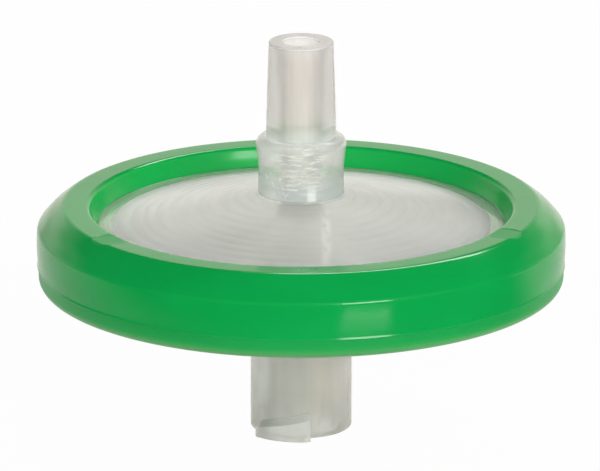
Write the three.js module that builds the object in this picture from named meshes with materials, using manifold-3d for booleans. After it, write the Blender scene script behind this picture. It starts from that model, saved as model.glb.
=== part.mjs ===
// A disposable syringe filter, 33 mm across, in millimetres with +Z up.
// It stands on the mouth of its female Luer inlet, and the origin is the middle of that mouth.
// Two translucent polypropylene housings clamp a membrane, and a green ring moulded over both
// flanges holds them together. -Y is the front, and angles run from there towards +X.
import * as THREE from "three";
import { mergeVertices } from "three/addons/utils/BufferGeometryUtils.js";
import Module from "manifold-3d";

const wasm = await Module();
wasm.setup();

// --- Driving dimensions ---------------------------------------------------------------------
const FACETS = 72;
const RIB_FACETS = 36;
const MARK_FACETS = 32;
const FILLET_STEP = THREE.MathUtils.degToRad(30);
const FILLET_REACH = 0.96; // the most of a side that its fillets may take
const SINK = 0.05; // how far an added rib runs into the wall that carries it
const CUT_OVER = 1; // how far a cutting body runs past the face it opens

// Luer fittings: 6 % taper on the diameter
const LUER_TAPER = 0.06;
const NOZZLE_TIP_R = 2.01;
const NOZZLE_LENGTH = 6.0;
const SOCKET_MOUTH_R = 2.145;
const SOCKET_DEPTH = 8.0;

// The stack along the axis, from the inlet mouth up
const STEM_LENGTH = 10.5; // mouth to the underside of the inlet flange
const INLET_FLANGE_T = 1.2;
const OUTLET_FLANGE_T = 1.45;
const MEMBRANE_T = 0.15;
const CHAMBER_DEPTH = 0.45; // rib height over the membrane
const RECESS_DEPTH = 0.35; // rib height under the membrane
const COLLAR_HEIGHT = 3.82;

// The green ring
const RING_OUTER_R = 16.5;
const RING_WALL = 1.4;
const RING_CLEARANCE = 0.1; // between the flanges' edges and the ring
const UPPER_LIP_T = 1.2;
const LOWER_LIP_T = 1.15;
const LIP_REACH = 1.8; // how far the upper lip's edge reaches in over the flange
const LIP_TAPER = 0.5; // how much further in its foot reaches
const LOWER_LIP_MARGIN = 0.1; // flat flange left inside the lower lip, which reaches further in
const FLAT_WIDTH = 1.65;
const BEVEL_DROP = 1.45;
const BEVEL_CROWN = 0.1;
const LOWER_CORNER_R = 1.0;
const WALL_TOP_ROUND = 0.3;
const BEVEL_ROUND = 0.5;
const FLAT_ROUND = 0.12;
const LIP_ROUND = 0.15;
const RING_DRAFT = 0.08;
const PARTING_RISE = 1.25; // parting line above the ring's underside
const PARTING_STEP = 0.04;
const MARK_R = 1.1; // marks left by the ejector pins
const MARK_DEPTH = 0.06;
const MARK_ANGLES = [63, 183, 303];
const GATE_R = 0.6; // where the plastic went in
const GATE_DEPTH = 0.1;
const GATE_ANGLE = 2;

// The plates and the membrane between them
const BAND_WIDTH = 1.4; // from the upper lip's edge in to the chamber's wall
const SEAL_WIDTH = 0.8; // membrane pinched between the flanges
const POCKET_CLEARANCE = 0.15;
const OUTLET_PLATE_RISE = 1.88;
const INLET_PLATE_FALL = 1.9;
const RIB_PITCH = 0.8;
const RIB_WIDTH = 0.36;
const RIB_FIRST_R = 2.4;
const DRAIN_COUNT = 8;
const DRAIN_WIDTH = 0.6;
const SPOKE_COUNT = 12;
const SPOKE_WIDTH = 0.5;
const SPOKE_INNER_R = 3.0;
const CHAMBER_FILLET = 0.15;
const PLATE_FILLET = 0.5;

// The outlet's collar and bores
const COLLAR_STEP = 0.45; // ledge round the foot of the nozzle
const COLLAR_WAIST = 0.45; // where the collar is narrowest, as a share of its height
const WAIST_FILLET = 1.5;
const COLLAR_BEAD = 0.17;
const BEAD_HEIGHT = 0.6;
const COLLAR_FLARE = 0.05;
const FOOT_FILLET = 0.25;
const TIP_ROUND = 0.08;
const OUTLET_BORE_TIP_R = 1.16;
const OUTLET_BORE_R = 0.95;
const BORE_STEP = 0.15;
const BORE_STEP_DROP = 0.3;
const DRAIN_MOUTH_R = 1.5;
const DRAIN_MOUTH_ROUND = 0.2;
const FUNNEL_HEIGHT = 1.73;
const FUNNEL_FILLET = 0.8;

// The inlet's hub, its passage and its two Luer lock lugs
const HUB_R = 3.17;
const MOUTH_ROUND = 0.12;
const SOCKET_CHAMFER = 0.12;
const PASSAGE_R = 0.9;
const PASSAGE_ROUND = 0.3;
const LUG_COUNT = 2;
const LUG_R = 3.9;
const LUG_ANGLES = [-49, 9];
const LUG_START_HEIGHT = 0.6;
const LUG_LEAD = 5.0;
const LUG_FLANK = THREE.MathUtils.degToRad(25);
const LUG_STEPS = 10;
const LUG_ENDS_ROUND = 0.1;

// --- Places that follow from them -----------------------------------------------------------
const flangeR = RING_OUTER_R - RING_WALL - RING_CLEARANCE;
const lipR = flangeR - LIP_REACH;
const chamberR = lipR - BAND_WIDTH;
const lowerLipR = chamberR + LOWER_LIP_MARGIN;
const membraneR = chamberR + SEAL_WIDTH;
const pocketR = membraneR + POCKET_CLEARANCE;
const weldZ = STEM_LENGTH + INLET_FLANGE_T;
const membraneTopZ = weldZ + MEMBRANE_T;
const ceilingZ = membraneTopZ + CHAMBER_DEPTH;
const recessZ = weldZ - RECESS_DEPTH;
const flangeTopZ = weldZ + OUTLET_FLANGE_T;
const ringTopZ = flangeTopZ + UPPER_LIP_T;
const ringBottomZ = STEM_LENGTH - LOWER_LIP_T;
const collarFootZ = flangeTopZ + OUTLET_PLATE_RISE;
const nozzleFootZ = collarFootZ + COLLAR_HEIGHT;
const tipZ = nozzleFootZ + NOZZLE_LENGTH;
const nozzleFootR = NOZZLE_TIP_R + (LUER_TAPER / 2) * NOZZLE_LENGTH;
const collarR = nozzleFootR + COLLAR_STEP;
const socketEndR = SOCKET_MOUTH_R - (LUER_TAPER / 2) * SOCKET_DEPTH;

// --- Shaping --------------------------------------------------------------------------------

// The points of one corner, rounded by an arc that reaches no further than room along its sides.
function roundCorner(before, corner, after, radius, room) {
  const toBefore = before.clone().sub(corner).normalize();
  const toAfter = after.clone().sub(corner).normalize();
  const half = toBefore.angleTo(toAfter) / 2;
  const reach = Math.min(radius / Math.tan(half), room);
  const inward = toBefore.clone().add(toAfter).setLength(reach / Math.cos(half));
  const arm = toBefore.clone().multiplyScalar(reach).sub(inward);
  const turn = Math.sign(toAfter.cross(toBefore)) * (Math.PI - 2 * half);
  const steps = Math.max(1, Math.ceil(Math.abs(turn) / FILLET_STEP));
  const centre = corner.clone().add(inward);
  const origin = new THREE.Vector2();
  return Array.from({ length: steps + 1 }, (_, i) =>
    arm.clone().rotateAround(origin, (turn * i) / steps).add(centre),
  );
}

// A closed profile from corners of [radius, height, fillet], where the fillet may be left out.
// Two rounded corners share the side between them.
function profile(corners) {
  const points = corners.map(([r, z]) => new THREE.Vector2(r, z));
  const rounded = corners.flatMap(([, , fillet], i) => {
    if (!fillet) return [points[i]];
    const before = (i + points.length - 1) % points.length;
    const after = (i + 1) % points.length;
    const sides = [before, after].map((j) => {
      const share = corners[j][2] ? FILLET_REACH / 2 : FILLET_REACH;
      return share * points[i].distanceTo(points[j]);
    });
    return roundCorner(points[before], points[i], points[after], fillet, Math.min(...sides));
  });
  return [...rounded, rounded[0]];
}

// A closed mesh as a solid: only shared positions are kept.
function solidOf(geometry) {
  const bare = geometry.index ? geometry.toNonIndexed() : geometry.clone();
  bare.deleteAttribute("normal");
  bare.deleteAttribute("uv");
  const merged = mergeVertices(bare);
  const vertProperties = merged.attributes.position.array;
  const triVerts = new Uint32Array(merged.index.array);
  return new wasm.Manifold(new wasm.Mesh({ numProp: 3, vertProperties, triVerts }));
}

// Corners turned about +Z, the first facet edge at the front.
function turned(corners, facets = FACETS) {
  return solidOf(new THREE.LatheGeometry(profile(corners), facets).rotateX(Math.PI / 2));
}

// A straight bar lying along a spoke at an angle from the front.
function spoke(innerR, outerR, width, bottom, top, degrees) {
  const bar = new THREE.BoxGeometry(width, outerR - innerR, top - bottom);
  bar.translate(0, -(innerR + outerR) / 2, (top + bottom) / 2);
  return solidOf(bar.rotateZ(THREE.MathUtils.degToRad(degrees)));
}

// An upright round plug on the ring's flat, at an angle from the front.
function plug(radius, bottom, top, degrees) {
  const round = new THREE.CylinderGeometry(radius, radius, top - bottom, MARK_FACETS);
  round.rotateX(Math.PI / 2);
  round.translate(0, -(lipR + FLAT_WIDTH / 2), (top + bottom) / 2);
  return solidOf(round.rotateZ(THREE.MathUtils.degToRad(degrees)));
}

function joined(solids) {
  return solids.reduce((sum, next) => sum.add(next));
}

function aroundAxis(count, make) {
  return joined(Array.from({ length: count }, (_, i) => make((i * 360) / count)));
}

// --- Inlet housing: plate, hub, female Luer socket and lock lugs -----------------------------

// One lug: a helical block on the mouth whose upper flank slopes down and outwards.
function lug(firstDegrees) {
  const sweep = LUG_ANGLES[1] - LUG_ANGLES[0];
  const innerR = HUB_R - MOUTH_ROUND - SINK;
  const positions = [];
  for (let i = 0; i <= LUG_STEPS; i++) {
    const angle = THREE.MathUtils.degToRad(firstDegrees + (sweep * i) / LUG_STEPS);
    const outerR = i === 0 || i === LUG_STEPS ? LUG_R - LUG_ENDS_ROUND : LUG_R;
    const edgeZ = LUG_START_HEIGHT + (LUG_LEAD * sweep * i) / (360 * LUG_STEPS);
    const rootZ = edgeZ + (outerR - innerR) * Math.tan(LUG_FLANK);
    const section = [[innerR, 0], [outerR, 0], [outerR, edgeZ], [innerR, rootZ]];
    for (const [r, z] of section) positions.push(r * Math.sin(angle), -r * Math.cos(angle), z);
  }
  const sides = 4;
  const index = [0, 1, 2, 0, 2, 3];
  for (let i = 0; i < LUG_STEPS; i++)
    for (let side = 0; side < sides; side++) {
      const a = sides * i + side;
      const b = sides * i + ((side + 1) % sides);
      index.push(a, b + sides, b, a, a + sides, b + sides);
    }
  const last = sides * LUG_STEPS;
  index.push(last, last + 2, last + 1, last, last + 3, last + 2);
  const block = new THREE.BufferGeometry();
  block.setAttribute("position", new THREE.Float32BufferAttribute(positions, 3));
  block.setIndex(index);
  return solidOf(block);
}

function inletHousing() {
  const body = turned([
    [SOCKET_MOUTH_R, 0, SOCKET_CHAMFER],
    [HUB_R, 0, MOUTH_ROUND],
    [HUB_R, STEM_LENGTH - INLET_PLATE_FALL, PLATE_FILLET],
    [chamberR, STEM_LENGTH, PLATE_FILLET],
    [flangeR, STEM_LENGTH],
    [flangeR, weldZ],
    [chamberR, weldZ],
    [chamberR, recessZ, CHAMBER_FILLET],
    [PASSAGE_R, recessZ, PASSAGE_ROUND],
    [PASSAGE_R, SOCKET_DEPTH],
    [socketEndR, SOCKET_DEPTH],
  ]);
  const spokes = aroundAxis(SPOKE_COUNT, (degrees) =>
    spoke(SPOKE_INNER_R, chamberR - RIB_PITCH, SPOKE_WIDTH, recessZ - SINK, weldZ, degrees),
  );
  const lugs = aroundAxis(LUG_COUNT, (degrees) => lug(LUG_ANGLES[0] + degrees));
  return joined([body, spokes, lugs]);
}

// --- Outlet housing: support ribs, cone-shaped plate, collar and male Luer nozzle -------------

function supportRibs() {
  const count = Math.floor((chamberR - RIB_WIDTH - RIB_FIRST_R) / RIB_PITCH) + 1;
  const rings = Array.from({ length: count }, (_, i) => {
    const innerR = RIB_FIRST_R + i * RIB_PITCH;
    const outerR = innerR + RIB_WIDTH;
    const topZ = ceilingZ + SINK;
    const section = [[innerR, membraneTopZ], [outerR, membraneTopZ], [outerR, topZ], [innerR, topZ]];
    return turned(section, RIB_FACETS);
  });
  const halfStep = 180 / DRAIN_COUNT;
  const drains = aroundAxis(DRAIN_COUNT, (degrees) =>
    spoke(DRAIN_MOUTH_R, chamberR, DRAIN_WIDTH, weldZ, ceilingZ + CUT_OVER, degrees + halfStep),
  );
  return joined(rings).subtract(drains);
}

function outletHousing() {
  const waistZ = collarFootZ + COLLAR_WAIST * COLLAR_HEIGHT;
  const beadR = collarR + COLLAR_BEAD;
  const boreStepZ = nozzleFootZ - BORE_STEP_DROP;
  const boreR = OUTLET_BORE_R - BORE_STEP;
  const body = turned([
    [DRAIN_MOUTH_R, ceilingZ, DRAIN_MOUTH_ROUND],
    [chamberR, ceilingZ, CHAMBER_FILLET],
    [chamberR, membraneTopZ],
    [pocketR, membraneTopZ],
    [pocketR, weldZ],
    [flangeR, weldZ],
    [flangeR, flangeTopZ],
    [chamberR, flangeTopZ, PLATE_FILLET],
    [collarR + COLLAR_FLARE, collarFootZ, FOOT_FILLET],
    [collarR, waistZ, WAIST_FILLET],
    [beadR, nozzleFootZ - BEAD_HEIGHT],
    [beadR, nozzleFootZ, beadR - nozzleFootR],
    [nozzleFootR, nozzleFootZ],
    [NOZZLE_TIP_R, tipZ, TIP_ROUND],
    [OUTLET_BORE_TIP_R, tipZ],
    [OUTLET_BORE_R, boreStepZ],
    [boreR, boreStepZ - BORE_STEP],
    [boreR, ceilingZ + FUNNEL_HEIGHT, FUNNEL_FILLET],
  ]);
  return body.add(supportRibs());
}

// --- Membrane: a flat disc pinched at its edge ------------------------------------------------

function membrane() {
  return turned([[0, weldZ], [membraneR, weldZ], [membraneR, membraneTopZ], [0, membraneTopZ]]);
}

// --- Ring: a C section moulded round both flanges ---------------------------------------------

function ring() {
  const pocketWallR = flangeR + RING_CLEARANCE;
  const flatEdgeR = lipR + FLAT_WIDTH;
  const bevelFootZ = ringTopZ - BEVEL_DROP;
  const partingZ = ringBottomZ + PARTING_RISE;
  const wallFootR = RING_OUTER_R - RING_DRAFT;
  const crown = BEVEL_CROWN / Math.SQRT2;
  const section = turned([
    [lowerLipR, ringBottomZ, LIP_ROUND],
    [wallFootR - PARTING_STEP, ringBottomZ, LOWER_CORNER_R],
    [wallFootR - PARTING_STEP, partingZ],
    [wallFootR, partingZ],
    [RING_OUTER_R, bevelFootZ, WALL_TOP_ROUND],
    [(flatEdgeR + RING_OUTER_R) / 2 + crown, (ringTopZ + bevelFootZ) / 2 + crown, BEVEL_ROUND],
    [flatEdgeR, ringTopZ, FLAT_ROUND],
    [lipR, ringTopZ, LIP_ROUND],
    [lipR - LIP_TAPER, flangeTopZ],
    [pocketWallR, flangeTopZ],
    [pocketWallR, STEM_LENGTH],
    [lowerLipR, STEM_LENGTH],
  ]);
  const marks = MARK_ANGLES.map((degrees) =>
    plug(MARK_R, ringTopZ - MARK_DEPTH, ringTopZ + CUT_OVER, degrees),
  );
  const gate = plug(GATE_R, ringTopZ - GATE_DEPTH, ringTopZ + CUT_OVER, GATE_ANGLE);
  return section.subtract(joined([...marks, gate]));
}

// --- The assembly ------------------------------------------------------------------------------

function piece(name, solid, material) {
  const { vertProperties, triVerts } = solid.getMesh();
  const geometry = new THREE.BufferGeometry();
  geometry.setAttribute("position", new THREE.BufferAttribute(vertProperties, 3));
  geometry.setIndex(new THREE.BufferAttribute(triVerts, 1));
  geometry.computeVertexNormals();
  const mesh = new THREE.Mesh(geometry, material);
  mesh.name = name;
  return mesh;
}

const clearPlastic = new THREE.MeshStandardMaterial({
  color: 0xd9dad4,
  roughness: 0.25,
  metalness: 0,
  transparent: true,
  opacity: 0.6,
});
const greenPlastic = new THREE.MeshStandardMaterial({
  color: 0x12a84c,
  roughness: 0.35,
  metalness: 0,
});
const membraneWhite = new THREE.MeshStandardMaterial({
  color: 0xf2f2ee,
  roughness: 0.9,
  metalness: 0,
});

const syringeFilter = new THREE.Group();
syringeFilter.add(
  piece("inlet_housing", inletHousing(), clearPlastic),
  piece("membrane", membrane(), membraneWhite),
  piece("outlet_housing", outletHousing(), clearPlastic),
  piece("ring", ring(), greenPlastic),
);

export default syringeFilter;
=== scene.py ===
# A disposable syringe filter, 33 mm across, standing on its Luer inlet with the nozzle up.
# Two housings of uncoloured polypropylene clamp a white membrane, and a green ring that is
# moulded round their flanges holds them together. Sizes are in millimetres, the filter's axis
# is Z and its front is -Y.
import math

import bmesh
import bpy
from mathutils import Matrix, Vector


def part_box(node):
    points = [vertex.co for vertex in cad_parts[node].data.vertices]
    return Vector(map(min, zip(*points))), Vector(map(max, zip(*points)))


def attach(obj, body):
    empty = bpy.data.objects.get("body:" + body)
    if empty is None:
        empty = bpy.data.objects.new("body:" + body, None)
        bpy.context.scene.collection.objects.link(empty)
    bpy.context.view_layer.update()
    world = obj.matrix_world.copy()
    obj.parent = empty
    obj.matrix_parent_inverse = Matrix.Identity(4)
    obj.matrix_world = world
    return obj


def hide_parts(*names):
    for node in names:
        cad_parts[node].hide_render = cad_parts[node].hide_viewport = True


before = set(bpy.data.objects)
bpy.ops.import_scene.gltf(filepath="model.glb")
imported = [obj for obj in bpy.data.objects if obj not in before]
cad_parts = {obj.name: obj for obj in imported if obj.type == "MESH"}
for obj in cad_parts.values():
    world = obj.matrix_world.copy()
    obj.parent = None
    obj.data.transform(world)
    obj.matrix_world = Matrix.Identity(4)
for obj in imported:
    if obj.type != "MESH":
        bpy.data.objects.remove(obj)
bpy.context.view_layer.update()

# ------------------------------------------------------------------------------------------
# Inlet housing. One moulding of natural polypropylene: the female Luer socket with its two
# lock lugs, the hub, the lower plate with twelve spokes that spread the flow under the
# membrane, and the flange that the ring grips.
# ------------------------------------------------------------------------------------------
MM = 0.001
TURN_STEPS = 288
ON_AXIS = 1e-6
FILLET_STEP = math.radians(10)
SHARED_SIDE = 0.48  # the part of a side one fillet may use when the other end has one too
WHOLE_SIDE = 0.96  # and when it has none
SINK = 0.05  # how far an added rib runs into the wall that carries it
CONTACT = 0.006  # the hair of air left between two pieces that touch
EDGE_FILLET = 0.05
FLANGE_WIDTH = 3.2
INLET_FLANGE = 1.2
FLOW_GAP = 0.35
HUB_R = 3.17
SOCKET_MOUTH_R = 2.145
SOCKET_END_R = 1.905
SOCKET_DEPTH = 8.0
PASSAGE_R = 0.9
PLATE_FALL = 1.9
PLATE_FILLET = 0.5
RIM_FILLET = 0.12
LUG_COUNT = 2
LUG_R = 3.9
LUG_ANGLES = (-49, 9)  # degrees from the front
LUG_START_HEIGHT = 0.6
LUG_LEAD = 5.0
LUG_FLANK = math.radians(25)
LUG_STEPS = 24
LUG_ROUNDING = 0.12  # how far an end of a lug falls back
LUG_ROUNDED_STEPS = 2
SPOKE_COUNT = 12
SPOKE_WIDTH = 0.5
SPOKE_ENDS = (3.0, 11.0)

POLYPROPYLENE_IOR = 1.49
LAMP_LIGHT_PASSED = (0.86, 0.86, 0.84, 1)
INLET_DARK = (0.75, 0.76, 0.72, 1)
INLET_LIGHT = (0.82, 0.815, 0.765, 1)
INLET_WARM = (0.88, 0.85, 0.785, 1)
INLET_STREAK = (0.90, 0.92, 0.88, 1)
INLET_MOUTH = (0.62, 0.625, 0.59, 1)
INLET_BLOTCH = (0.45, 0.47, 0.44, 1)
INLET_LUG = (0.72, 0.725, 0.69, 1)
STREAK_X = -2.3
MOUTH_Z = 3.0  # the darker, milkier tone round the mouth and the lugs stays below this

weld_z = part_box("inlet_housing")[1].z / MM
flange_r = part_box("inlet_housing")[1].x / MM
chamber_r = flange_r - FLANGE_WIDTH
stem_length = weld_z - INLET_FLANGE
recess_z = weld_z - FLOW_GAP


def round_corner(before, corner, after, radius, room):
    """The arc that replaces a corner. It starts and ends no farther than room from it."""
    to_before, to_after = (before - corner).normalized(), (after - corner).normalized()
    half = to_before.angle(to_after) / 2
    reach = min(radius / math.tan(half), room)
    centre = corner + (to_before + to_after).normalized() * reach / math.cos(half)
    arm = corner + to_before * reach - centre
    side = 1 if to_after.cross(to_before) > 0 else -1
    turn = side * (math.pi - 2 * half)
    steps = max(2, math.ceil(abs(turn) / FILLET_STEP))
    points = []
    for i in range(steps + 1):
        cos, sin = math.cos(turn * i / steps), math.sin(turn * i / steps)
        points.append(centre + Vector((arm.x * cos - arm.y * sin, arm.x * sin + arm.y * cos)))
    return points


def section(corners):
    """The points of a closed section. A corner is (radius, height) or (radius, height, fillet)."""
    places = [Vector(corner[:2]) for corner in corners]
    points = []
    for i, corner in enumerate(corners):
        if len(corner) == 2:
            points.append(places[i])
            continue
        sides = []
        for j in (i - 1, (i + 1) % len(corners)):
            share = SHARED_SIDE if len(corners[j]) > 2 else WHOLE_SIDE
            sides.append(share * (places[j] - places[i]).length)
        after = places[(i + 1) % len(corners)]
        points += round_corner(places[i - 1], places[i], after, corner[2], min(sides))
    return points


def mesh_object(name, shape):
    """A scene object that holds the bmesh, which is freed."""
    mesh = bpy.data.meshes.new(name)
    bmesh.ops.recalc_face_normals(shape, faces=shape.faces)
    shape.to_mesh(mesh)
    shape.free()
    made = bpy.data.objects.new(name, mesh)
    bpy.context.scene.collection.objects.link(made)
    return made


def turned(name, points, steps=TURN_STEPS):
    """The closed section turned about the axis."""
    shape = bmesh.new()
    loops = []
    for point in points:
        if point.x < ON_AXIS:
            loops.append([shape.verts.new((0, 0, point.y * MM))] * steps)
            continue
        loops.append([])
        for i in range(steps):
            angle = 2 * math.pi * i / steps
            place = (point.x * math.sin(angle), -point.x * math.cos(angle), point.y)
            loops[-1].append(shape.verts.new(Vector(place) * MM))
    for lower, upper in zip(loops, loops[1:] + loops[:1]):
        for i in range(steps):
            j = (i + 1) % steps
            corners = list(dict.fromkeys((lower[i], lower[j], upper[j], upper[i])))
            if len(corners) > 2:
                shape.faces.new(corners)
    return mesh_object(name, shape)


def bar(name, inner_r, outer_r, width, bottom, top):
    """One straight rib that points to the front."""
    shape = bmesh.new()
    bmesh.ops.create_cube(shape, size=1)
    for vert in shape.verts:
        radius = inner_r if vert.co.y > 0 else outer_r
        height = top if vert.co.z > 0 else bottom
        vert.co = Vector((vert.co.x * width, -radius, height)) * MM
    return mesh_object(name, shape)


def lug(name):
    """One block of the Luer lock thread. Its upper flank climbs and slopes down and outwards."""
    shape = bmesh.new()
    inner_r = HUB_R - 4 * SINK
    loops = []
    for i in range(LUG_STEPS + 1):
        share = i / LUG_STEPS
        angle = math.radians(LUG_ANGLES[0] + (LUG_ANGLES[1] - LUG_ANGLES[0]) * share)
        end = min(1, min(share, 1 - share) * LUG_STEPS / LUG_ROUNDED_STEPS)
        outer_r = LUG_R - LUG_ROUNDING * (1 - end) ** 2
        edge_z = LUG_START_HEIGHT + LUG_LEAD * (angle - math.radians(LUG_ANGLES[0])) / math.tau
        root_z = edge_z + (outer_r - inner_r) * math.tan(LUG_FLANK)
        corners = [(inner_r, 0), (outer_r, 0), (outer_r, edge_z), (inner_r, root_z)]
        place = [Vector((r * math.sin(angle), -r * math.cos(angle), z)) * MM for r, z in corners]
        loops.append([shape.verts.new(co) for co in place])
    for first, second in zip(loops, loops[1:]):
        for i in range(4):
            j = (i + 1) % 4
            shape.faces.new((first[i], first[j], second[j], second[i]))
    shape.faces.new(loops[0])
    shape.faces.new(loops[-1])
    return mesh_object(name, shape)


class Signal:
    """A shader value. An expression on signals adds its Math nodes."""

    def __init__(self, finish, socket):
        self.finish, self.socket = finish, socket

    def math(self, operation, *terms):
        """A Math node on these terms. This signal is one of them only where it is named."""
        return self.finish.node("ShaderNodeMath", {"operation": operation}, dict(enumerate(terms)))

    def __add__(self, other):
        return self.math("ADD", self, other)

    def __sub__(self, other):
        return self.math("SUBTRACT", self, other)

    def __mul__(self, other):
        return self.math("MULTIPLY", self, other)

    def __truediv__(self, other):
        return self.math("DIVIDE", self, other)

    def __rsub__(self, other):
        return self.math("SUBTRACT", other, self)

    def __rtruediv__(self, other):
        return self.math("DIVIDE", other, self)

    __radd__, __rmul__ = __add__, __mul__

    def power(self, exponent):
        return self.math("POWER", self, exponent)

    def absolute(self):
        return self.math("ABSOLUTE", self)

    def wave(self):
        """Its sine, brought to the range 0 to 1."""
        return 0.5 + 0.5 * self.math("SINE", self)

    def band(self, low, high):
        """0 below low, 1 above high and smooth between. High may be the smaller of the two."""
        inputs = {"Value": self, "From Min": low, "From Max": high}
        return self.finish.node("ShaderNodeMapRange", {"interpolation_type": "SMOOTHSTEP"}, inputs)

    def near(self, middle, reach, core):
        """1 within core of the middle, 0 beyond reach and smooth between."""
        return (self - middle).absolute().band(reach, core)


class Finish:
    """The nodes of one material, or of the world."""

    def __init__(self, owner):
        self.owner = owner
        owner.use_nodes = True
        self.tree = owner.node_tree
        self.tree.nodes.clear()

    def node(self, kind, settings=None, inputs=None, output=0):
        """Adds one node, its settings first and then its values and links."""
        made = self.tree.nodes.new(kind)
        for name, value in (settings or {}).items():
            setattr(made, name, value)
        for name, value in (inputs or {}).items():
            if isinstance(value, Signal):
                self.tree.links.new(value.socket, made.inputs[name])
            else:
                made.inputs[name].default_value = value
        return Signal(self, made.outputs[output]) if made.outputs else None

    def parts_of(self, vector):
        """The three parts of a vector."""
        split = self.node("ShaderNodeSeparateXYZ", inputs={"Vector": vector})
        return [Signal(self, socket) for socket in split.socket.node.outputs]

    def stretched(self, scale):
        """Object coordinates in millimetres, multiplied by scale."""
        settings = {"operation": "MULTIPLY"}
        factor = tuple(value / MM for value in scale)
        place = self.node("ShaderNodeTexCoord", output="Object")
        return self.node("ShaderNodeVectorMath", settings, {0: place, 1: factor})

    def axes(self):
        """X, Y and Z in millimetres."""
        return self.parts_of(self.stretched((1, 1, 1)))

    def polar(self):
        """The distance from the axis, the angle from the front and the height."""
        x, y, z = self.axes()
        return (x * x + y * y).power(0.5), x.math("ARCTAN2", x, 0 - y), z

    def ray_kinds(self):
        """What kind of ray looks at the surface, by the names of the Light Path outputs."""
        path = self.node("ShaderNodeLightPath")
        return {socket.name: Signal(self, socket) for socket in path.socket.node.outputs}

    def noise(self, scale, detail=2.0, roughness=0.5):
        """Noise whose features are about 1 / scale millimetres."""
        inputs = {"Vector": self.stretched(scale), "Scale": 1.0, "Detail": detail}
        inputs["Roughness"] = roughness
        return self.node("ShaderNodeTexNoise", inputs=inputs)

    def mix(self, factor, first, second):
        """One colour blended into another."""
        return self.node(
            "ShaderNodeMix", {"data_type": "RGBA"}, {0: factor, 6: first, 7: second}, output=2
        )

    def bump(self, height, depth, strength=1.0):
        """A normal from a height of 0 to 1, depth millimetres deep."""
        inputs = {"Height": height, "Distance": depth * MM, "Strength": strength}
        return self.node("ShaderNodeBump", inputs=inputs)

    def finished(self, shader):
        """Ends the material in this shader and returns it."""
        self.node("ShaderNodeOutputMaterial", inputs={"Surface": shader})
        return self.owner


class NaturalPolypropylene(Finish):
    """Uncoloured polypropylene: light scatters in it, so it is partly clear and partly milky."""

    def moulded(self, tone, milk, roughness, height, depth):
        """Ends the material. milk, 0 to 1, is how much of the light scatters under the skin."""
        normal = self.bump(height, depth)
        clear = self.node("ShaderNodeBsdfPrincipled", inputs={
            "Base Color": tone,
            "Roughness": roughness,
            "IOR": POLYPROPYLENE_IOR,
            "Transmission Weight": 1.0,
            "Normal": normal,
        })
        milky = self.node("ShaderNodeBsdfPrincipled", inputs={
            "Base Color": tone,
            "Roughness": roughness,
            "IOR": POLYPROPYLENE_IOR,
            "Subsurface Weight": 0.7,
            "Subsurface Radius": (1.0, 1.0, 0.9),
            "Subsurface Scale": 0.8 * MM,
            "Normal": normal,
        })
        body = self.node("ShaderNodeMixShader", inputs={0: milk, 1: clear, 2: milky})
        lamp_ray = self.node("ShaderNodeLightPath", output="Is Shadow Ray")
        passed = self.node("ShaderNodeBsdfTransparent", inputs={"Color": LAMP_LIGHT_PASSED})
        inputs = {0: lamp_ray, 1: body, 2: passed}
        return self.finished(self.node("ShaderNodeMixShader", inputs=inputs))


def inlet_polypropylene(name):
    """Darker, milkier and blotched round the mouth, warmer at the front right, with a pale streak.
    """
    finish = NaturalPolypropylene(bpy.data.materials.new(name))
    radius, _, height = finish.polar()
    x, y, _ = finish.axes()
    mouth = height.band(MOUTH_Z, 1.2)
    lugs = radius.band(HUB_R + 0.01, HUB_R + 0.08) * height.band(MOUTH_Z, 2.5)
    warm = x.band(-0.1, 1.0) * y.band(0.0, -0.5)
    pale = x.near(STREAK_X, 0.5, 0.1) * height.band(0.8, 2.0)
    blotches = finish.noise((1.3, 1.3, 0.8), 3.0, 0.6).band(0.5, 0.7) * mouth
    flow_lines = finish.noise((0.9, 0.9, 0.04), 3.0, 0.5)
    grain = finish.noise((7.0, 7.0, 7.0), 2.0)
    tone = finish.mix(flow_lines, INLET_DARK, INLET_LIGHT)
    tone = finish.mix(0.8 * warm, tone, INLET_WARM)
    tone = finish.mix(0.7 * pale, tone, INLET_STREAK)
    tone = finish.mix(0.6 * mouth, tone, INLET_MOUTH)
    tone = finish.mix(0.35 * blotches, tone, INLET_BLOTCH)
    tone = finish.mix(0.7 * lugs, tone, INLET_LUG)
    milk = 0.2 + 0.1 * flow_lines + 0.12 * mouth + 0.2 * lugs
    surface = flow_lines * 0.85 + grain * 0.15
    return finish.moulded(tone, milk, 0.12 + 0.1 * flow_lines, surface, 0.012)


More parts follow.
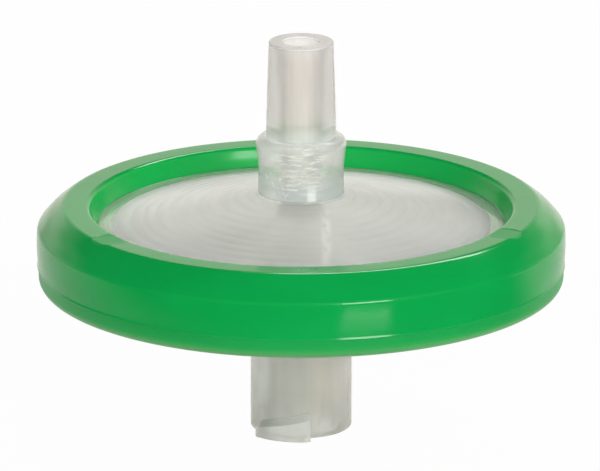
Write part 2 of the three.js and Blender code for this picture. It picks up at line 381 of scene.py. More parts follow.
def around_axis():
    """Geometry nodes that repeat the object's own mesh about the axis."""
    tree = bpy.data.node_groups.new("around_axis", "GeometryNodeTree")
    face = tree.interface
    face.new_socket("Geometry", in_out="INPUT", socket_type="NodeSocketGeometry")
    face.new_socket("Count", in_out="INPUT", socket_type="NodeSocketInt")
    face.new_socket("First angle", in_out="INPUT", socket_type="NodeSocketFloat")
    face.new_socket("Material", in_out="INPUT", socket_type="NodeSocketMaterial")
    face.new_socket("Geometry", in_out="OUTPUT", socket_type="NodeSocketGeometry")
    add, link = tree.nodes.new, tree.links.new
    given, result = add("NodeGroupInput"), add("NodeGroupOutput")
    points, turns = add("GeometryNodePoints"), add("GeometryNodeInstanceOnPoints")
    index, step, angle = add("GeometryNodeInputIndex"), add("ShaderNodeMath"), add("ShaderNodeMath")
    turn, rotation = add("ShaderNodeMath"), add("ShaderNodeCombineXYZ")
    realized, coloured = add("GeometryNodeRealizeInstances"), add("GeometryNodeSetMaterial")
    step.operation, turn.operation, angle.operation = "DIVIDE", "MULTIPLY", "ADD"
    step.inputs[0].default_value = math.tau
    link(given.outputs["Count"], points.inputs["Count"])
    link(given.outputs["Count"], step.inputs[1])
    link(index.outputs[0], turn.inputs[0])
    link(step.outputs[0], turn.inputs[1])
    link(turn.outputs[0], angle.inputs[0])
    link(given.outputs["First angle"], angle.inputs[1])
    link(angle.outputs[0], rotation.inputs["Z"])
    link(points.outputs[0], turns.inputs["Points"])
    link(given.outputs["Geometry"], turns.inputs["Instance"])
    link(rotation.outputs[0], turns.inputs["Rotation"])
    link(turns.outputs[0], realized.inputs[0])
    link(realized.outputs[0], coloured.inputs["Geometry"])
    link(given.outputs["Material"], coloured.inputs["Material"])
    link(coloured.outputs[0], result.inputs[0])
    return tree


def grown(host, tree, **values):
    """Runs the geometry nodes on an object and leaves their result in it as a plain mesh."""
    modifier = host.modifiers.new("nodes", "NODES")
    modifier.node_group = tree
    for item in tree.interface.items_tree:
        key = item.name.lower().replace(" ", "_")
        if item.in_out == "INPUT" and key in values:
            modifier[item.identifier] = values[key]
    return made_plain(host)


def made_plain(host):
    """Applies an object's modifiers by putting a new mesh in it."""
    evaluated = host.evaluated_get(bpy.context.evaluated_depsgraph_get())
    mesh = bpy.data.meshes.new_from_object(evaluated)
    host.modifiers.clear()
    host.data = mesh
    return host


def combined(body, other, operation):
    """Joins another closed mesh to the body, or cuts it away, and drops the other."""
    modifier = body.modifiers.new("combine", "BOOLEAN")
    modifier.operation, modifier.solver, modifier.object = operation, "MANIFOLD", other
    made_plain(body)
    bpy.data.objects.remove(other)
    return body


def smooth(piece, material, crease=math.radians(28)):
    """Shades a piece smoothly, with its broad faces left truly flat beside their fillets."""
    piece.data.materials.clear()
    piece.data.materials.append(material)
    piece.data.shade_smooth()
    piece.data.set_sharp_from_angle(angle=crease)
    piece.data.transform(Matrix.Scale(1 / MM, 4))  # areas in square metres are too small for it
    piece.modifiers.new("weighted", "WEIGHTED_NORMAL").keep_sharp = True
    made_plain(piece)
    piece.data.transform(Matrix.Scale(MM, 4))
    return piece


turning = around_axis()
inlet_plastic = inlet_polypropylene("inlet_polypropylene")
inlet = turned("inlet_moulding", section([
    (SOCKET_MOUTH_R, 0, RIM_FILLET),
    (HUB_R, 0, RIM_FILLET),
    (HUB_R, stem_length - PLATE_FALL, PLATE_FILLET),
    (chamber_r, stem_length, PLATE_FILLET),
    (flange_r, stem_length, EDGE_FILLET),
    (flange_r, weld_z - CONTACT, EDGE_FILLET),
    (chamber_r, weld_z - CONTACT),
    (chamber_r, recess_z, 0.15),
    (PASSAGE_R, recess_z, 0.3),
    (PASSAGE_R, SOCKET_DEPTH, 0.08),
    (SOCKET_END_R, SOCKET_DEPTH, 0.1),
]))
spoke = bar("spoke", *SPOKE_ENDS, SPOKE_WIDTH, recess_z - SINK, weld_z - CONTACT)
spokes = grown(spoke, turning, count=SPOKE_COUNT, first_angle=0.0, material=inlet_plastic)
lugs = grown(lug("lug"), turning, count=LUG_COUNT, first_angle=0.0, material=inlet_plastic)
combined(inlet, spokes, "UNION")
combined(inlet, lugs, "UNION")
smooth(inlet, inlet_plastic)
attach(inlet, "root")
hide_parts("inlet_housing")

# ------------------------------------------------------------------------------------------
# Membrane. A thin white disc of porous polymer, cut round and pinched at its edge between
# the two flanges.
# ------------------------------------------------------------------------------------------
MEMBRANE_DARK = (0.50, 0.50, 0.47, 1)
MEMBRANE_LIGHT = (0.58, 0.58, 0.55, 1)
MEMBRANE_FILLET = 0.04

membrane_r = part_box("membrane")[1].x / MM
membrane_top_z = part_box("membrane")[1].z / MM


def porous_white(name):
    """Matt, with pores as bump and a faint cloud in its shade."""
    finish = Finish(bpy.data.materials.new(name))
    pores = finish.noise((14.0, 14.0, 14.0), 3.0)
    cloud = finish.noise((0.5, 0.5, 0.5), 2.0)
    shade = (pores * 0.4 + cloud * 0.6).band(0.25, 0.75)
    shader = finish.node("ShaderNodeBsdfPrincipled", inputs={
        "Base Color": finish.mix(shade, MEMBRANE_DARK, MEMBRANE_LIGHT),
        "Roughness": 0.85 + 0.1 * pores,
        "Normal": finish.bump(pores, 0.01, 0.5),
    })
    return finish.finished(shader)


disc = turned("membrane_disc", section([
    (0, weld_z + CONTACT),
    (membrane_r, weld_z + CONTACT, MEMBRANE_FILLET),
    (membrane_r, membrane_top_z - CONTACT, MEMBRANE_FILLET),
    (0, membrane_top_z - CONTACT),
]))
smooth(disc, porous_white("porous_membrane"))
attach(disc, "root")
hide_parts("membrane")

# ------------------------------------------------------------------------------------------
# Outlet housing. The upper moulding: a cone-shaped plate whose underside carries concentric
# support ribs cut by eight drain channels, a waisted collar, and the male Luer nozzle.
# ------------------------------------------------------------------------------------------
OUTLET_FLANGE = 1.45
RIB_HEIGHT = 0.45
PLATE_RISE = 1.88
POCKET_GAP = 0.15
NOZZLE_LENGTH = 6.0
NOZZLE_TIP_R = 2.01
NOZZLE_FOOT_R = 2.19
COLLAR_R = 2.64
COLLAR_FLARE = 0.05
COLLAR_FOOT_FILLET = 0.25
WAIST_RISE = 1.72
WAIST_FILLET = 1.5
BEAD_R = 2.81
BEAD_LENGTH = 0.6
BORE_TIP_R = 1.16
BORE_R = 0.95
BORE_END_R = 0.8
BORE_STEP_DROPS = (0.3, 0.45)  # the bore narrows between these depths below the nozzle's foot
BORE_FOOT_RISE = 1.73
BORE_FOOT_FILLET = 0.8
GROOVE_POINTS = 27
GROOVE_START = 0.3
GROOVE_STEP = 0.115
GROOVE_DEPTH = 0.04
GROOVE_SPREAD = 0.5  # how much the grooves differ in depth, as a share of it
GROOVE_SWING = 2.1
GROOVE_FILLET = 0.08
DRAIN_MOUTH_R = 1.5
DRAIN_COUNT = 8
DRAIN_WIDTH = 0.6
RIB_PITCH = 0.8
RIB_WIDTH = 0.36
RIB_FIRST_R = 2.4

COLLAR_TONE = (0.79, 0.79, 0.76, 1)
COLLAR_FOOT_PAINTED_SHADE = (0.58, 0.615, 0.605, 1)
COLLAR_LEFT_PAINTED_LIGHT = (0.96, 0.96, 0.92, 1)
COLLAR_RIGHT_PAINTED_SHADE = (0.62, 0.65, 0.63, 1)
GLINT_PAINTED_LIGHT = (0.98, 0.97, 0.94, 1)
STREAK_PAINTED_SHADE = (0.60, 0.61, 0.58, 1)
FOOT_PAINTED_HIGHLIGHT = (0.97, 0.97, 0.94, 1)
NOZZLE_DARK = (0.83, 0.81, 0.775, 1)
NOZZLE_LIGHT = (0.91, 0.87, 0.84, 1)
NOZZLE_SIDE_PAINTED_SHADE = (0.72, 0.71, 0.68, 1)
NOZZLE_FOOT_PAINTED_GREEN = (0.74, 0.87, 0.82, 1)
BORE_TONE = (0.99, 0.96, 0.95, 1)
SKIRT_PAINTED_GREEN = (0.62, 0.88, 0.63, 1)
SKIRT_PAINTED_SHADE = (0.42, 0.58, 0.41, 1)
PLATE_FRONT_PAINTED_SHADE = (0.61, 0.62, 0.585, 1)
PLATE_BACK_PAINTED_LIGHT = (0.98, 0.97, 0.94, 1)
PLATE_SHADE = (0.50, 0.52, 0.49, 1)
PLATE_PAINTED_REFLECTION = (0.97, 0.95, 0.92, 1)
FOOT_HIGHLIGHT_X = 0.65
PLATE_REFLECTION_X = 1.55
SKIRT_LINES = 21.0  # radians per millimetre
RIPPLES = 13.0  # radians per millimetre
RIPPLE_WARP = 14.0

tip_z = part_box("outlet_housing")[1].z / MM
flange_top_z = weld_z + OUTLET_FLANGE
ceiling_z = membrane_top_z + RIB_HEIGHT
collar_foot_z = flange_top_z + PLATE_RISE
nozzle_foot_z = tip_z - NOZZLE_LENGTH
bore_foot_z = ceiling_z + BORE_FOOT_RISE
pocket_r = membrane_r + POCKET_GAP


def rings_of_ribs():
    """Geometry nodes that make concentric ribs of rectangular section."""
    tree = bpy.data.node_groups.new("rings_of_ribs", "GeometryNodeTree")
    face = tree.interface
    face.new_socket("Geometry", in_out="INPUT", socket_type="NodeSocketGeometry")
    face.new_socket("Count", in_out="INPUT", socket_type="NodeSocketInt")
    for name in ("First radius", "Pitch", "Width", "Height", "Middle height"):
        face.new_socket(name, in_out="INPUT", socket_type="NodeSocketFloat")
    face.new_socket("Material", in_out="INPUT", socket_type="NodeSocketMaterial")
    face.new_socket("Geometry", in_out="OUTPUT", socket_type="NodeSocketGeometry")
    add, link = tree.nodes.new, tree.links.new
    given, result = add("NodeGroupInput"), add("NodeGroupOutput")
    points, copies = add("GeometryNodePoints"), add("GeometryNodeInstanceOnPoints")
    index = add("GeometryNodeInputIndex")
    grow, radius = add("ShaderNodeMath"), add("ShaderNodeMath")
    size, lift = add("ShaderNodeCombineXYZ"), add("ShaderNodeCombineXYZ")
    circle = add("GeometryNodeCurvePrimitiveCircle")
    profile = add("GeometryNodeCurvePrimitiveQuadrilateral")
    realized, swept = add("GeometryNodeRealizeInstances"), add("GeometryNodeCurveToMesh")
    whole, coloured = add("GeometryNodeRealizeInstances"), add("GeometryNodeSetMaterial")
    grow.operation, radius.operation = "MULTIPLY", "ADD"
    circle.inputs["Resolution"].default_value = TURN_STEPS
    circle.inputs["Radius"].default_value = 1.0
    size.inputs["Z"].default_value = 1.0
    link(given.outputs["Count"], points.inputs["Count"])
    link(given.outputs["Middle height"], lift.inputs["Z"])
    link(lift.outputs[0], points.inputs["Position"])
    link(index.outputs[0], grow.inputs[0])
    link(given.outputs["Pitch"], grow.inputs[1])
    link(grow.outputs[0], radius.inputs[0])
    link(given.outputs["First radius"], radius.inputs[1])
    link(radius.outputs[0], size.inputs["X"])
    link(radius.outputs[0], size.inputs["Y"])
    link(points.outputs[0], copies.inputs["Points"])
    link(circle.outputs[0], copies.inputs["Instance"])
    link(size.outputs[0], copies.inputs["Scale"])
    link(copies.outputs[0], realized.inputs[0])
    link(realized.outputs[0], swept.inputs["Curve"])
    link(given.outputs["Width"], profile.inputs["Width"])
    link(given.outputs["Height"], profile.inputs["Height"])
    link(profile.outputs[0], swept.inputs["Profile Curve"])
    link(swept.outputs[0], whole.inputs[0])
    link(whole.outputs[0], coloured.inputs["Geometry"])
    link(given.outputs["Material"], coloured.inputs["Material"])
    link(coloured.outputs[0], result.inputs[0])
    return tree


def outlet_polypropylene(name):
    """Clearest in the nozzle. The plate is milkier and the collar is rippled."""
    finish = NaturalPolypropylene(bpy.data.materials.new(name))
    radius, angle, height = finish.polar()
    x, y, _ = finish.axes()

    # Textures.
    around = finish.node("ShaderNodeCombineXYZ", inputs={"X": radius * 1.9, "Y": angle * 2.5})
    inputs = {"Vector": around, "Scale": 1.0, "Detail": 4.0}
    swirl = finish.node("ShaderNodeTexNoise", inputs=inputs)
    flow_lines = finish.noise((3.6, 3.6, 0.05), 3.0, 0.55)
    collar_streaks = finish.noise((1.1, 1.1, 7.0), 4.0, 0.65)
    warp = finish.noise((0.45, 0.45, 0.8), 3.0, 0.6)
    ripples = (height * RIPPLES + RIPPLE_WARP * warp).wave()
    patches = finish.noise((0.16, 0.16, 0.16), 2.0).band(0.4, 0.6)
    glint_noise = finish.noise((5.0, 5.0, 5.0), 2.0).band(0.6, 0.66)
    breaks = finish.noise((1.6, 0.7, 1.0), 2.0).band(0.35, 0.6)
    grain = finish.noise((7.0, 7.0, 7.0), 2.0)
    skirt_lines = (radius * SKIRT_LINES).wave()
    past_rib = (radius - (RIB_FIRST_R + RIB_WIDTH / 2)) * (math.tau / RIB_PITCH)
    over_rib = past_rib.math("COSINE", past_rib)

    # Parts of the moulding, each 1 inside and 0 outside.
    ragged = radius + 0.5 * swirl
    flange = height.band(collar_foot_z + 0.3, collar_foot_z)
    plate = ragged.band(chamber_r + 0.35, chamber_r + 0.15) * flange
    skirt = ragged.band(chamber_r + 0.2, chamber_r + 0.5) * flange
    nozzle = height.band(nozzle_foot_z - 0.6, nozzle_foot_z + 0.4)
    # Painted light: a teal tinge at the nozzle's foot stands in for the green ring seen through the
    # plastic.
    painted_ring_tinge = height.band(nozzle_foot_z + 1.1, nozzle_foot_z + 0.4)
    painted_ring_tinge = painted_ring_tinge * height.band(nozzle_foot_z - 0.5, nozzle_foot_z)
    collar = (1 - flange) * (1 - nozzle)
    collar_foot = collar * height.band(collar_foot_z + 1.6, collar_foot_z + 0.4)
    shoulder = collar * height.band(nozzle_foot_z - 0.9, nozzle_foot_z - 0.4)
    facing = angle.absolute().band(0.75, 0.2) * collar * (1 - 0.8 * collar_foot)
    tip = height.band(tip_z - 0.1, tip_z - 0.05)
    rim = height.band(tip_z - 0.8, tip_z - 0.4) * (1 - tip)
    bore = radius.band(BORE_TIP_R + 0.02, BORE_TIP_R - 0.02)
    bore = bore * height.band(tip_z - 1.2, tip_z - 0.3)
    # Painted light: the plate is painted paler towards the back and darker at the front.
    painted_back_light = (y - 0.2 * x).band(-0.5, 6.5)

    # Painted highlights and reflections.
    # Painted highlight: a light vertical streak at the front of the collar's foot.
    foot_highlight = x.near(FOOT_HIGHLIGHT_X, 0.38, 0.15) * y.band(-0.5, -1.5)
    foot_highlight = foot_highlight * collar * height.band(collar_foot_z + 1.7, collar_foot_z + 1.1)
    # Painted reflection: a light streak on the front of the plate.
    plate_reflection = x.near(PLATE_REFLECTION_X, 0.45, 0.1) * y.band(-2.5, -4.0) * breaks
    # Painted highlights: a few white glints on the collar's left.
    glints = glint_noise * collar * x.band(-0.6, -1.2)
    glints = glints * height.band(collar_foot_z + 2.2, collar_foot_z + 1.6)
    # Painted highlights: light streaks on the front of the collar, together with the glints.
    painted_glints = 0.8 * facing * collar_streaks.band(0.5, 0.62) + 0.6 * glints

    # Colour.
    # Painted shade: the collar is painted darker and bluer at its foot, where it meets the plate.
    cool = finish.mix(collar_foot, COLLAR_TONE, COLLAR_FOOT_PAINTED_SHADE)
    # Painted light and shade: the collar is painted lighter on its left side and darker on its
    # right.
    cool = finish.mix(x.band(-0.8, -2.2), cool, COLLAR_LEFT_PAINTED_LIGHT)
    cool = finish.mix(0.5 * x.band(1.2, 2.4), cool, COLLAR_RIGHT_PAINTED_SHADE)
    # Painted highlight at the front of the collar's foot.
    cool = finish.mix(0.7 * foot_highlight, cool, FOOT_PAINTED_HIGHLIGHT)
    bright = finish.mix(flow_lines.band(0.35, 0.65), NOZZLE_DARK, NOZZLE_LIGHT)
    # Painted shade: the nozzle's sides are painted darker.
    bright = finish.mix(0.5 * x.absolute().band(0.9, 1.6), bright, NOZZLE_SIDE_PAINTED_SHADE)
    # Painted light and shade on the plate, paler at the back.
    frosted = finish.mix(painted_back_light, PLATE_FRONT_PAINTED_SHADE, PLATE_BACK_PAINTED_LIGHT)
    frosted = finish.mix(swirl.band(0.3, 0.7) * (0.35 - 0.2 * painted_back_light), frosted, PLATE_SHADE)
    frosted = finish.mix(over_rib.band(0.2, 1.0) * patches * 0.4, frosted, PLATE_SHADE)
    # Painted reflection: the light streak on the front of the plate.
    frosted = finish.mix(0.45 * plate_reflection, frosted, PLATE_PAINTED_REFLECTION)
    tone = finish.mix(nozzle, cool, bright)
    # Painted light: the green ring's teal tinge at the nozzle's foot.
    tone = finish.mix(0.35 * painted_ring_tinge, tone, NOZZLE_FOOT_PAINTED_GREEN)
    # Painted reflection: the clear skirt is painted green for the green ring it shows; painted
    # shade darkens it at the front, with fine concentric lines.
    tone = finish.mix(skirt, tone, SKIRT_PAINTED_GREEN)
    tone = finish.mix(skirt * (0.3 * skirt_lines + 0.7 * y.band(2.0, -2.0)), tone, SKIRT_PAINTED_SHADE)
    tone = finish.mix(plate, tone, frosted)
    # Painted highlights and painted shade: light and dark streaks on the front of the collar.
    tone = finish.mix(painted_glints, tone, GLINT_PAINTED_LIGHT)
    tone = finish.mix(facing * collar_streaks.band(0.42, 0.32), tone, STREAK_PAINTED_SHADE)
    tone = finish.mix(0.8 * bore, tone, BORE_TONE)

    # Milkiness, roughness and the height of the skin.
    milk = 0.17 + 0.10 * flange + plate * (0.12 + 0.3 * painted_back_light) + 0.2 * skirt
    milk = milk + collar * (0.28 + 0.55 * collar_foot) + 0.4 * painted_glints
    milk = milk + 0.5 * tip + 0.35 * bore + 0.25 * painted_ring_tinge
    roughness = 0.04 + 0.03 * collar + 0.06 * flange + 0.42 * plate
    roughness = roughness + 0.04 * flow_lines + 0.2 * tip
    sunk = (0.5 - 0.5 * over_rib + swirl) * plate * (0.2 + 0.8 * patches)
    waves = ripples * (0.06 * collar + 0.14 * shoulder + 0.04 * rim) + collar_streaks * facing * 0.6
    surface = flow_lines * 0.1 * (1 - flange) * (1 - tip) + waves + grain * 0.03 + sunk * 0.35
    return finish.moulded(tone, milk, roughness, surface, 0.06)


outlet_plastic = outlet_polypropylene("outlet_polypropylene")
grooves = []
for i in range(GROOVE_POINTS - 1, -1, -1):
    depth = (i % 2) * GROOVE_DEPTH * (1 + GROOVE_SPREAD * math.sin(GROOVE_SWING * i))
    groove_z = collar_foot_z + GROOVE_START + GROOVE_STEP * i
    grooves.append((BORE_END_R + depth, groove_z, GROOVE_FILLET))
outlet = turned("outlet_moulding", section([
    (DRAIN_MOUTH_R, ceiling_z, 0.2),
    (chamber_r, ceiling_z, 0.15),
    (chamber_r, membrane_top_z + CONTACT),
    (pocket_r, membrane_top_z + CONTACT),
    (pocket_r, weld_z + CONTACT),
    (flange_r, weld_z + CONTACT, EDGE_FILLET),
    (flange_r, flange_top_z - CONTACT, EDGE_FILLET),
    (chamber_r, flange_top_z, PLATE_FILLET / 2),
    (COLLAR_R + COLLAR_FLARE, collar_foot_z, COLLAR_FOOT_FILLET),
    (COLLAR_R, collar_foot_z + WAIST_RISE, WAIST_FILLET),
    (BEAD_R, nozzle_foot_z - BEAD_LENGTH),
    (BEAD_R, nozzle_foot_z, BEAD_R - NOZZLE_FOOT_R),
    (NOZZLE_FOOT_R, nozzle_foot_z),
    (NOZZLE_TIP_R, tip_z, 0.08),
    (BORE_TIP_R, tip_z, 0.04),
    (BORE_R, nozzle_foot_z - BORE_STEP_DROPS[0]),
    (BORE_END_R, nozzle_foot_z - BORE_STEP_DROPS[1]),
    *grooves,
    (BORE_END_R, bore_foot_z, BORE_FOOT_FILLET),
]))
rib_count = int((chamber_r - RIB_WIDTH - RIB_FIRST_R) / RIB_PITCH) + 1
rib_low, rib_high = membrane_top_z + 2 * CONTACT, ceiling_z + SINK
ribs = grown(
    mesh_object("ribs", bmesh.new()), rings_of_ribs(), count=rib_count,
    first_radius=(RIB_FIRST_R + RIB_WIDTH / 2) * MM, pitch=RIB_PITCH * MM,
    width=RIB_WIDTH * MM, height=(rib_high - rib_low) * MM,
    middle_height=(rib_high + rib_low) / 2 * MM, material=outlet_plastic,
)
drain = bar("drain", DRAIN_MOUTH_R, chamber_r, DRAIN_WIDTH, weld_z, ceiling_z + 1)
drains = grown(
    drain, turning, count=DRAIN_COUNT, first_angle=math.pi / DRAIN_COUNT, material=outlet_plastic
)
combined(ribs, drains, "DIFFERENCE")
combined(outlet, ribs, "UNION")
smooth(outlet, outlet_plastic)
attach(outlet, "root")
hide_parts("outlet_housing")

# ------------------------------------------------------------------------------------------
# Ring. Green polypropylene injected round both flanges: a flat with the marks of three
# ejector pins and of the gate, a crowned bevel, a drafted wall and a parting line.
# ------------------------------------------------------------------------------------------
LIP_REACH = 1.8
LIP_SLOPE = 0.5
LIP_HOLLOW = (0.29, 0.75)  # inwards and down from the lip's edge
LIP_HOLLOW_FILLET = 10.0
LIP_FILLET = 0.35
LOWER_LIP_SETBACK = 0.1
LOWER_LIP_FILLET = 0.15
FLANGE_AIR = 0.1
FLAT_WIDTH = 1.65
FLAT_FILLET = 0.6
BEVEL_DROP = 1.45
BEVEL_CROWN = 0.1
BEVEL_CROWN_FILLET = 3.0
BEVEL_FOOT_FILLET = 0.45
WALL_CROWN = 0.05
WALL_CROWN_LIFT = 0.1
WALL_CROWN_FILLET = 8.0
DRAFT = 0.08
PARTING_RISE = 1.25
PARTING_STEP = 0.04
PARTING_FILLET = 0.02
PARTING_BEAD = 0.045
BEAD_FALL = 0.04
BEAD_CLIMB = 0.13
RING_FOOT_FILLET = 1.0
FLASH = 0.06
MARK_COUNT = 3
MARK_R = 1.08
MARK_DEPTH = 0.03
MARK_ANGLE = 63  # degrees from the front
MARK_DRAFT = 2.0
GATE_R = 0.55
GATE_DEPTH = 0.04
GATE_ANGLE = 2
PLUG_HEIGHT = 1.0
PLUG_STEPS = 64

GREEN_DARK = (0.0015, 0.385, 0.072, 1)
GREEN_LIGHT = (0.003, 0.415, 0.082, 1)
GREEN_FOOT_PAINTED_SHEEN = (0.075, 0.41, 0.11, 1)
GREEN_INNER_PAINTED_LIGHT = (0.008, 0.47, 0.088, 1)

ring_top_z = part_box("ring")[1].z / MM
ring_bottom_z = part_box("ring")[0].z / MM
ring_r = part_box("ring")[1].x / MM
lip_r = flange_r - LIP_REACH
lip_foot_r = lip_r - LIP_SLOPE
lip_hollow_r = lip_r - LIP_HOLLOW[0]
lip_hollow_z = ring_top_z - LIP_HOLLOW[1]
lower_lip_r = chamber_r + LOWER_LIP_SETBACK
flat_edge_r = lip_r + FLAT_WIDTH
flat_middle_r = lip_r + FLAT_WIDTH / 2
bevel_foot_z = ring_top_z - BEVEL_DROP
parting_z = ring_bottom_z + PARTING_RISE
wall_foot_r = ring_r - DRAFT


def green_polypropylene(name):
    """Green polypropylene. The pin marks and the gate are duller than the polished mould's skin."""
    finish = Finish(bpy.data.materials.new(name))
    radius, angle, z = finish.polar()
    on_top = z.band(ring_top_z - 0.2, ring_top_z - 0.1)

    def spot(first, step, reach):
        """1 within reach of the flat's middle, at an angle that repeats at every step."""
        past = angle - (first - step / 2)
        turn = past.math("FLOORED_MODULO", past, step) - step / 2
        across, along = turn * radius, radius - flat_middle_r
        away = (across * across + along * along).power(0.5)
        return away.band(reach + 0.06, reach - 0.06) * on_top

    marks = spot(math.radians(MARK_ANGLE), math.tau / MARK_COUNT, MARK_R)
    gate = spot(math.radians(GATE_ANGLE), math.tau, GATE_R)
    # Painted light: the inner wall is painted a brighter green than the outside.
    inner = radius.band(lip_r + 0.05, lip_r - 0.05)
    # Painted reflection: the ring is painted paler towards its bottom edge.
    foot = z.band(ring_bottom_z + 0.9, ring_bottom_z)
    below = z.band(parting_z - 0.02, parting_z - 0.06)
    cloud = finish.noise((0.12, 0.12, 0.3), 2.0)
    ripple = finish.noise((0.5, 0.5, 0.9), 2.0)
    grain = finish.noise((9.0, 9.0, 9.0), 2.0)
    torn = finish.noise((3.5, 3.5, 3.5), 3.0)
    height = ripple * 0.25 + grain * (0.03 + 0.1 * marks) + 1.6 * torn * gate
    roughness = 0.1 + 0.05 * ripple + 0.22 * marks + 0.12 * gate + 0.08 * inner + 0.25 * below
    tone = finish.mix(cloud.band(0.3, 0.7), GREEN_DARK, GREEN_LIGHT)
    # Painted reflection of the floor on the ring's bottom edge.
    tone = finish.mix(foot, tone, GREEN_FOOT_PAINTED_SHEEN)
    # Painted light on the ring's inner wall.
    tone = finish.mix(inner, tone, GREEN_INNER_PAINTED_LIGHT)
    shader = finish.node("ShaderNodeBsdfPrincipled", inputs={
        "Base Color": tone,
        "Roughness": roughness,
        "IOR": POLYPROPYLENE_IOR,
        "Subsurface Weight": 0.3,
        "Subsurface Radius": (0.2, 1.0, 0.35),
        "Subsurface Scale": MM,
        "Normal": finish.bump(height, 0.04),
    })
    return finish.finished(shader)


def plug(name, radius, depth, angle):
    """A tapered round pin that stands on the flat, sunk depth into it."""
    shape = bmesh.new()
    foot, head = radius - MARK_DRAFT * depth, radius + MARK_DRAFT * (PLUG_HEIGHT - depth)
    bmesh.ops.create_cone(
        shape, cap_ends=True, segments=PLUG_STEPS, radius1=foot * MM, radius2=head * MM,
        depth=PLUG_HEIGHT * MM,
    )
    turn = math.radians(angle)
    middle_z = ring_top_z - depth + PLUG_HEIGHT / 2
    place = Vector((flat_middle_r * math.sin(turn), -flat_middle_r * math.cos(turn), middle_z))
    bmesh.ops.translate(shape, verts=shape.verts, vec=place * MM)
    return mesh_object(name, shape)


green_plastic = green_polypropylene("green_polypropylene")
crown = BEVEL_CROWN / math.sqrt(2)
bevel_middle = ((flat_edge_r + ring_r) / 2 + crown, (ring_top_z + bevel_foot_z) / 2 + crown)
ring = turned("ring_moulding", section([
    (lower_lip_r, ring_bottom_z, LOWER_LIP_FILLET),
    (wall_foot_r - PARTING_STEP, ring_bottom_z, RING_FOOT_FILLET),
    (wall_foot_r - PARTING_STEP, parting_z - BEAD_FALL, PARTING_FILLET),
    (wall_foot_r + PARTING_BEAD, parting_z, PARTING_FILLET),
    (wall_foot_r, parting_z + BEAD_CLIMB, EDGE_FILLET),
    (ring_r, (parting_z + bevel_foot_z) / 2 + WALL_CROWN_LIFT, WALL_CROWN_FILLET),
    (ring_r - WALL_CROWN, bevel_foot_z, BEVEL_FOOT_FILLET),
    (*bevel_middle, BEVEL_CROWN_FILLET),
    (flat_edge_r, ring_top_z, FLAT_FILLET),
    (lip_r, ring_top_z, LIP_FILLET),
    (lip_hollow_r, lip_hollow_z, LIP_HOLLOW_FILLET),
    (lip_foot_r, flange_top_z + FLASH, FLASH),
    (lip_foot_r - FLASH, flange_top_z),
    (flange_r + FLANGE_AIR, flange_top_z),
    (flange_r + FLANGE_AIR, stem_length - CONTACT),
    (lower_lip_r, stem_length - CONTACT),
]))
marks = grown(
    plug("marks", MARK_R, MARK_DEPTH, MARK_ANGLE), turning, count=MARK_COUNT, first_angle=0.0,
    material=green_plastic,
)
combined(ring, marks, "DIFFERENCE")
combined(ring, plug("gate", GATE_R, GATE_DEPTH, GATE_ANGLE), "DIFFERENCE")
smooth(ring, green_plastic, crease=math.radians(15))
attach(ring, "root")
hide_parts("ring")

# ------------------------------------------------------------------------------------------
# Floor, light and camera. A pale table in a plain bright studio, lit by five soft boxes: two at
# the front right, one at the front left and two at the back. The studio is brightest behind the
# filter, and the table and the studio are white to the camera.
# ------------------------------------------------------------------------------------------
FLOOR_HALF = 900.0
FLOOR_DROP = 0.02
FLOOR_TONE = (0.87, 0.87, 0.87, 1)
FLOOR_IN_FRONT = (0.05, 0.05, 0.05, 1)  # what the ring's wall mirrors
WHITE = (1, 1, 1, 1)
FLOOR_SHINE = (1, 0.94, 0.88, 1)
STUDIO_SHINE = (1, 0.92, 0.84, 1)
LAMP_AIM = Vector((0, 0, 12))
LAMPS = (  # name, azimuth from the front to +X, elevation, distance, size, watts, mirrored
    ("key_light", 28, 35, 700, (200, 500), 1.15, False),
    ("key_gleam", 28, 20, 700, (250, 220), 1.4, True),
    ("left_light", -32, 20, 800, (400, 400), 1.1, False),
    ("back_light", 158, 48, 800, (500, 120), 1.6, True),
    ("back_fill", 178, 22, 800, (600, 200), 1.4, False),
)

floor_shape = bmesh.new()
bmesh.ops.create_grid(floor_shape, x_segments=4, y_segments=4, size=FLOOR_HALF * MM)
bmesh.ops.translate(floor_shape, verts=floor_shape.verts, vec=(0, 0, -FLOOR_DROP * MM))
floor = mesh_object("floor", floor_shape)


def pale_table(name):
    """White to the camera, where it keeps the shadow, and shaded as the plastic mirrors it."""
    finish = Finish(bpy.data.materials.new(name))
    sees = finish.ray_kinds()
    through = sees["Is Transmission Ray"]
    mirrored = sees["Is Glossy Ray"] * (1 - through)
    speckle = finish.noise((0.6, 0.6, 0.6), 2.0)
    x, y, _ = finish.axes()
    radius, _, _ = finish.polar()
    sideways = x.absolute()
    front = (y - 0.12 * sideways).band(12.0, 37.0 * x.band(-10.0, 30.0) - 45.0)
    front = front * radius.band(24.0, 34.0)
    matt = finish.node("ShaderNodeBsdfPrincipled", inputs={
        "Base Color": finish.mix(front * mirrored, FLOOR_TONE, FLOOR_IN_FRONT),
        "Roughness": 0.10 + 0.02 * speckle + 0.5 * radius.band(41.0, 38.0),
    })
    shine = finish.mix(mirrored, WHITE, FLOOR_SHINE)
    glow = finish.node("ShaderNodeEmission", inputs={"Color": shine, "Strength": 1.0})
    dimmed = 0.63 - 0.40 * sideways.band(5.0, 50.0) - 0.15 * x.band(20.0, 80.0)
    bright = 0.5 + 0.5 * radius.band(32.0, 24.0) + 0.5 * radius.band(60.0, 110.0)
    seen = sees["Is Camera Ray"] * 0.97 + through * dimmed + mirrored * (1 - front) * bright
    return finish.finished(finish.node("ShaderNodeMixShader", inputs={0: seen, 1: matt, 2: glow}))


floor.data.materials.append(pale_table("pale_table"))

studio = bpy.data.worlds.new("studio")
bpy.context.scene.world = studio
light = Finish(studio)
sees = light.ray_kinds()
across, depth, height = light.parts_of(light.node("ShaderNodeTexCoord", output="Generated"))
sides = across.absolute()

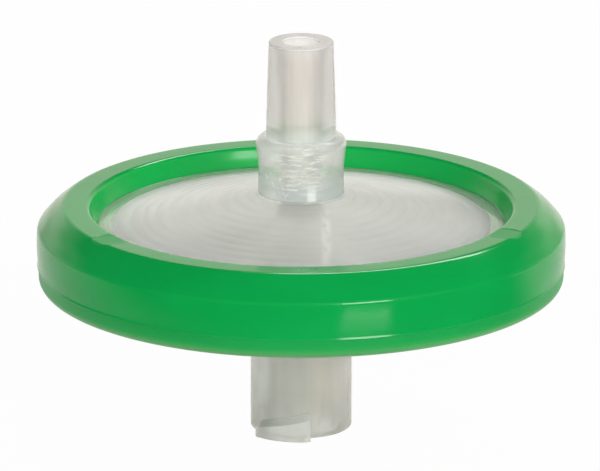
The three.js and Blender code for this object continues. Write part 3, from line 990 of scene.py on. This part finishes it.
# What lights the object: brighter low down, at the front and on the right.
diffuse = (0.85 - 0.74 * height.band(0.05, 0.9)) * (1 - 0.3 * depth.band(-0.7, 0.5))
diffuse = diffuse * (0.85 + 0.3 * across.band(-1, 1))

# What it mirrors: a bright sweep behind it, a line at the horizon and a dim patch high up at the
# front right.
back = depth.band(-0.1, 0.5) * sides.band(1.0, 0.75)
back = back * (1 - 0.2 * sides.band(0.2, 0.5)) * (1 - 0.3 * across.band(0.35, 0.55))
sweep = 0.45 + 0.55 * height.band(0.08, 0.2) + 0.55 * height.band(0.06, 0.0)
sweep = 0.68 * sweep * height.band(0.37, 0.25) + 0.5 * height.band(0.52, 0.38)
horizon = sides.band(0.36, 0.28) * height.band(0.16, 0.08) * depth.band(0.0, 0.5)
ahead = depth.band(0.0, -0.4) * height.band(0.3, 0.45) * height.band(0.85, 0.65)
ahead = ahead * across.band(-0.4, 0.2)
mirrored = 0.05 + 0.25 * ahead + back * sweep + 0.6 * horizon
mirrored = mirrored.math("MINIMUM", mirrored, 1.0)

# What shows through it: dimmer towards the sides, and most of all on the right.
through = 0.6 + 0.2 * back * height.band(0.40, 0.22)
through = through - 0.35 * sides.band(0.2, 0.9) - 0.15 * across.band(0, 0.8)

strength = diffuse + sees["Is Glossy Ray"] * (mirrored - diffuse)
strength = strength + sees["Is Transmission Ray"] * (through - strength)
strength = strength + sees["Is Camera Ray"] * (1 - strength)
tint = light.mix(sees["Is Glossy Ray"], WHITE, STUDIO_SHINE)
surround = light.node("ShaderNodeBackground", inputs={"Color": tint, "Strength": strength})
light.node("ShaderNodeOutputWorld", inputs={"Surface": surround})


def soft_box(name, azimuth, elevation, distance, size, power, mirrored):
    """A rectangular lamp that faces the filter."""
    lamp = bpy.data.lights.new(name, "AREA")
    lamp.shape, lamp.energy = "RECTANGLE", power
    lamp.size, lamp.size_y = size[0] * MM, size[1] * MM
    made = bpy.data.objects.new(name, lamp)
    bpy.context.scene.collection.objects.link(made)
    turn, rise = math.radians(azimuth), math.radians(elevation)
    level = math.cos(rise)
    towards = Vector((math.sin(turn) * level, -math.cos(turn) * level, math.sin(rise)))
    made.location = (LAMP_AIM + towards * distance) * MM
    made.rotation_euler = towards.to_track_quat("Z", "Y").to_euler()
    made.visible_glossy = mirrored


for lamp in LAMPS:
    soft_box(*lamp)

CAMERA_RISE = math.radians(16.725)
CAMERA_DISTANCE = 462.56
CAMERA_AIM = Vector((-0.07, 0, 12.3))
FOCAL_LENGTH = 445.3
SENSOR_WIDTH = 36.0
lens = bpy.data.cameras.new("camera")
lens.lens, lens.sensor_width = FOCAL_LENGTH, SENSOR_WIDTH
camera = bpy.data.objects.new("camera", lens)
bpy.context.scene.collection.objects.link(camera)
away = Vector((0, -math.cos(CAMERA_RISE), math.sin(CAMERA_RISE)))
camera.location = (CAMERA_AIM + away * CAMERA_DISTANCE) * MM
camera.rotation_euler = (math.pi / 2 - CAMERA_RISE, 0, 0)
bpy.context.scene.camera = camera
bpy.context.scene.view_settings.view_transform = "Standard"
